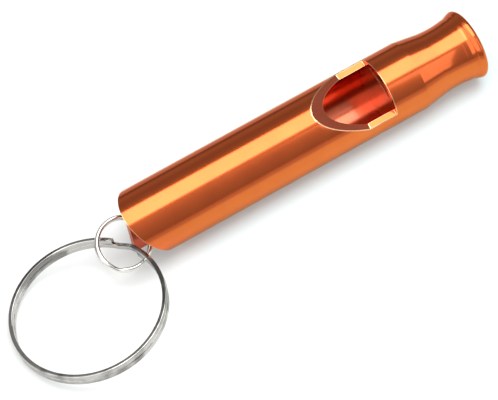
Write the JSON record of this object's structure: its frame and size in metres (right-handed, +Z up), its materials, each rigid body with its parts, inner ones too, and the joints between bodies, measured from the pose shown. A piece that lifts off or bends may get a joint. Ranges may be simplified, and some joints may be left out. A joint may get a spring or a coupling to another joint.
{
  "type": "survival whistle",
  "caption": "Slim metal tube whistle with a flared mouthpiece, a top window, a slanted tail with a ring lug, and a small split ring linked to a key ring.",
  "frame": {"origin": "below the middle of the bounding box, on the surface the whistle lies on", "axes": "+X along the tube towards the mouthpiece, +Z up, the window leans towards -Y"},
  "size_m": [0.0908, 0.0272, 0.012],
  "materials": {
    "anodised_body": "glossy",
    "anodised_block": "glossy",
    "anodised_plug": "glossy",
    "ring_wire": "polished",
    "key_ring_wire": "polished"
  },
  "bodies": {
    "whistle": {"whistle_tube": "anodised_body", "fipple_block": "anodised_block", "end_plug": "anodised_plug"},
    "small_ring": {"small_split_ring": "ring_wire"},
    "large_ring": {"key_ring": "key_ring_wire"}
  },
  "joints": [
    {"name": "small_ring_swing", "type": "hinge", "parent": "whistle", "child": "small_ring", "pos_m": [-0.01677, 0.00692, 0.00614], "axis": [0, -0.9778, 0.2096], "range_deg": [-14, 10]},
    {"name": "key_ring_swing", "type": "hinge", "parent": "small_ring", "child": "large_ring", "pos_m": [-0.02228, 0.00575, 0.00497], "axis": [0, 1, 0], "range_deg": [-90, 2]}
  ]
}
